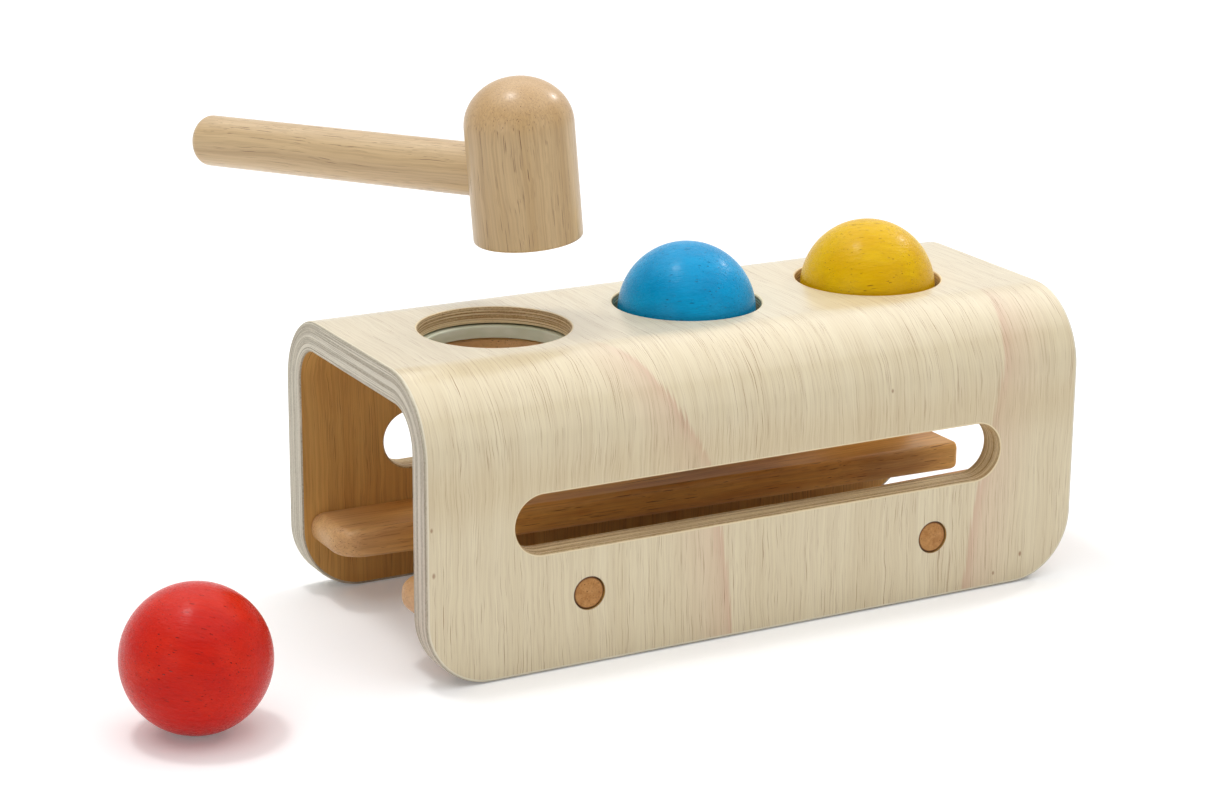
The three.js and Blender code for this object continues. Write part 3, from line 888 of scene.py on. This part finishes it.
def rail(name, side):
    slope = math.atan2(RAIL_GAP0 - RAIL_GAP1, RAIL_X1 - RAIL_X0)
    r = RAIL_NOSE
    cy = RAIL_GAP0 - r * math.tan(slope) + r / math.cos(slope)
    plan = [(RAIL_X0, RAIL_WALL)]
    plan += arc(RAIL_X0 + r, cy, r, r, 180, 270 - math.degrees(slope), 20)
    plan += [(RAIL_X1, RAIL_GAP1), (RAIL_X1, RAIL_WALL)]
    if side < 0:
        plan = [(x, -y) for x, y in plan][::-1]
    obj = mesh_object("runner_" + name, prism(plan, RAIL_Z - RAIL_T, RAIL_Z))
    soften(obj, RAIL_ROUND, rail_share, 7)
    hand_over(obj, "rail_" + name, "bench", [rail_woods[side]],
              lambda c: (c.y, c.z, c.x + RAIL_SHIFT * side))


# Plug with a softly domed face; each takes its grain from another place
PLUG_EDGE, PLUG_DOME = 0.3, 0.6
DOME_ANGLES = (0.25, 0.5, 0.8, 1.1, 1.35)
PLUG_VARIETY = 0.3


def plug(name, node, turn):
    r, side_top = PLUG_R, PLUG_LONG - PLUG_DOME
    profile = [(0, 0), (r - PLUG_EDGE, 0), (r, PLUG_EDGE), (r, side_top)]
    profile += [(r * math.cos(a), side_top + PLUG_DOME * math.sin(a)) for a in DOME_ANGLES]
    profile += [(0, PLUG_LONG)]
    obj = mesh_object("button_" + name, lathe(profile, 48))
    shade(obj)
    x = turn[0][3]
    hand_over(obj, node, "bench", [plug_wood],
              lambda c: (c.x, c.y, c.z + PLUG_VARIETY * x), turn)


for name, side in (("front", -1), ("rear", 1)):
    rail(name, side)
    spin = turned(-90 * side, "X")
    seat = WIDE / 2 - PLUG_DEEP + SCREW_GAP
    for end, (x, z) in PLUGS.items():
        key = name + "_" + end
        plug(key, "plug_" + key,
             Matrix.Translation((x, side * (WIDE / 2 - PLUG_LONG), z)) @ spin)
        screw("rail_" + key, "rail_screw_" + key, **RAIL_SCREW,
              length=seat - (RAIL_WALL - RAIL_SCREW_BITE),
              turn=Matrix.Translation((x, side * seat, z)) @ spin)

# Balls, turned between two centres that leave a small flat at each pole, and slightly uneven
BALL_ROWS, POLE_FLAT = 64, 0.06
UNEVEN, UNEVEN_SCALE = 0.05, 2.3


def ball(name, node, body, material, centre, way):
    r = BALL / 2
    pole = r - POLE_FLAT
    profile = [(0, -pole)]
    for k in range(1, BALL_ROWS):
        a = math.pi * k / BALL_ROWS
        profile.append((r * math.sin(a), max(min(-r * math.cos(a), pole), -pole)))
    profile.append((0, pole))
    bm = lathe(profile, 128)
    for v in bm.verts:
        d = v.co.normalized()
        v.co -= d * UNEVEN * (0.5 + 0.5 * noise.noise(d * UNEVEN_SCALE + Vector(way)))
    for f in bm.faces:
        f.smooth = True
    obj = mesh_object(name, bm)
    hand_over(obj, node, body, [material], None, Matrix.Translation(centre) @ facing(way))


ball("blue_sphere", "ball_blue", "blue_ball", blue,
     (HOLES["middle"], 0, REST_Z), (0.88, -0.46, 0.06))
ball("yellow_sphere", "ball_yellow", "yellow_ball", yellow,
     (HOLES["right"], 0, REST_Z), (0.9, -0.42, 0.1))
ball("red_sphere", "ball_red", "red_ball", red,
     (RED_X, RED_Y, BALL / 2), (0.84, -0.5, -0.2))

# Hammer, held over the empty hole
hammer = Matrix.Translation(HAMMER_AT) @ turned(HAMMER_Y, "Y")
hammer = hammer @ turned(HAMMER_X, "X") @ turned(HAMMER_Z, "Z")
handle_turn = Matrix.Translation((0, 0, HANDLE_Z)) @ turned(90, "Y")
HEAD_EDGE, BORE_FLOOR, BORE_LOOSE = 1.0, 0.3, 0.15
TENON_EDGE, HANDLE_END = 0.4, 5.0
HANDLE_STEP, HANDLE_RINGS = 20, 7
# The handle takes its grain from this far beside that of the head
HANDLE_GRAIN = 60


def hammer_head():
    r, e = HEAD_R, HEAD_EDGE
    profile = [(0, 0)] + arc(r - e, e, e, e, -90, 0, 6)
    profile += arc(0, HEAD_STRAIGHT, r, HEAD_DOME, 0, 90, 28)[:-1]
    profile.append((0, HEAD_STRAIGHT + HEAD_DOME))
    obj = mesh_object("mallet_head", lathe(profile, 128))
    hole = bar(HANDLE_R + BORE_LOOSE, -HANDLE_TENON - BORE_FLOOR, r + PAST)
    cut(obj, mesh_object("tool", lathe(hole, 64, None, handle_turn)))
    shade(obj)
    hand_over(obj, "hammer_head", "hammer", [head_wood], None, hammer)


def hammer_handle():
    r, e, tenon = HANDLE_R, TENON_EDGE, HANDLE_TENON
    profile = [(0, -tenon), (r - e, -tenon), (r, -tenon + e)]
    profile += [(r, HANDLE_STEP * k) for k in range(HANDLE_RINGS)]
    profile += arc(0, HANDLE_LONG - HANDLE_END, r, HANDLE_END, 0, 90, 16)[:-1]
    profile.append((0, HANDLE_LONG))
    obj = mesh_object("mallet_handle", lathe(profile, 96))
    shade(obj)
    hand_over(obj, "hammer_handle", "hammer", [handle_wood],
              lambda c: (c.x + HANDLE_GRAIN, c.y, c.z), hammer @ handle_turn)


hammer_head()
hammer_handle()


# Rays that see the white background: those of the camera, and mirrored or bent ones
def background_rays(tree):
    path = tree.nodes.new("ShaderNodeLightPath")
    seen = path.outputs["Is Camera Ray"]
    for key in ("Is Glossy Ray", "Is Transmission Ray"):
        node = tree.nodes.new("ShaderNodeMath")
        node.operation = "MAXIMUM"
        tree.links.new(seen, node.inputs[0])
        tree.links.new(path.outputs[key], node.inputs[1])
        seen = node.outputs[0]
    return seen


# Pale floor just below the toy, which is a little whiter to the rays that see the background
FLOOR_HALF, FLOOR_Z, FLOOR_CLOUD, FLOOR_WHITE = 5e3, -0.2, (3, 3, 3), 0.14
FLOOR_DARK, FLOOR_PALE = (0.93, 0.93, 0.93), (0.95, 0.95, 0.95)


def floor():
    t = Tree("floor")
    cloud = t.noise(t.scaled(t.new("TexCoord").outputs["Object"], FLOOR_CLOUD))
    color = t.mix(t.fit(cloud, *MIDDLE), FLOOR_DARK, FLOOR_PALE)
    t.finish(color, t.fit(cloud, *MIDDLE, 0.85, 0.95), specular_ior_level=0.1,
             emission_color=(1.0, 1.0, 1.0),
             emission_strength=t.times(background_rays(t.tree), FLOOR_WHITE))
    bm = bmesh.new()
    corners = ((-1, -1), (1, -1), (1, 1), (-1, 1))
    bm.faces.new([bm.verts.new((FLOOR_HALF * x, FLOOR_HALF * y, FLOOR_Z)) for x, y in corners])
    obj = mesh_object("floor", bm)
    obj.data.transform(Matrix.Scale(MM, 4))
    obj.data.materials.append(t.material)


floor()


# Soft lamp at a place, facing a target, in metres and watts
def softbox(name, place, target, size, power):
    data = bpy.data.lights.new(name, "AREA")
    data.shape = "RECTANGLE"
    data.size, data.size_y = size
    data.energy = power
    obj = bpy.data.objects.new(name, data)
    scene.collection.objects.link(obj)
    way = Vector(place) - Vector(target)
    obj.matrix_world = Matrix.Translation(place) @ facing(way)


sun = bpy.data.objects.new("overhead", bpy.data.lights.new("overhead", "SUN"))
sun.data.energy = 2.06
sun.data.angle = math.radians(94)
sun.matrix_world = facing((0.1, 0.05, 1))
scene.collection.objects.link(sun)
softbox("above", (-0.4, 0.25, 1.9), (-0.1, 0, 0.1), (0.28, 0.28), 8)
softbox("front", (0.75, -1.8, 0.8), (0, 0, 0.08), (1.0, 1.0), 2.6)
softbox("left", (-1.7, -0.9, 0.5), (-0.1, 0, 0.05), (1.0, 0.7), 2.4)
softbox("spark", (1.6, 0.45, 1.3), (0, 0, 0.1), (0.12, 0.12), 6)

# World: dim as a light, and white where the background is seen
FILL, WHITE = 0.22, 1.0
world = bpy.data.worlds.new("studio")
scene.world = world
world.use_nodes = True
nodes, links = world.node_tree.nodes, world.node_tree.links
nodes.clear()
blend = nodes.new("ShaderNodeMixShader")
links.new(background_rays(world.node_tree), blend.inputs[0])
for socket, strength in zip(blend.inputs[1:], (FILL, WHITE)):
    node = nodes.new("ShaderNodeBackground")
    node.inputs["Color"].default_value = (1, 1, 1, 1)
    node.inputs["Strength"].default_value = strength
    links.new(node.outputs[0], socket)
links.new(blend.outputs[0], nodes.new("ShaderNodeOutputWorld").inputs[0])
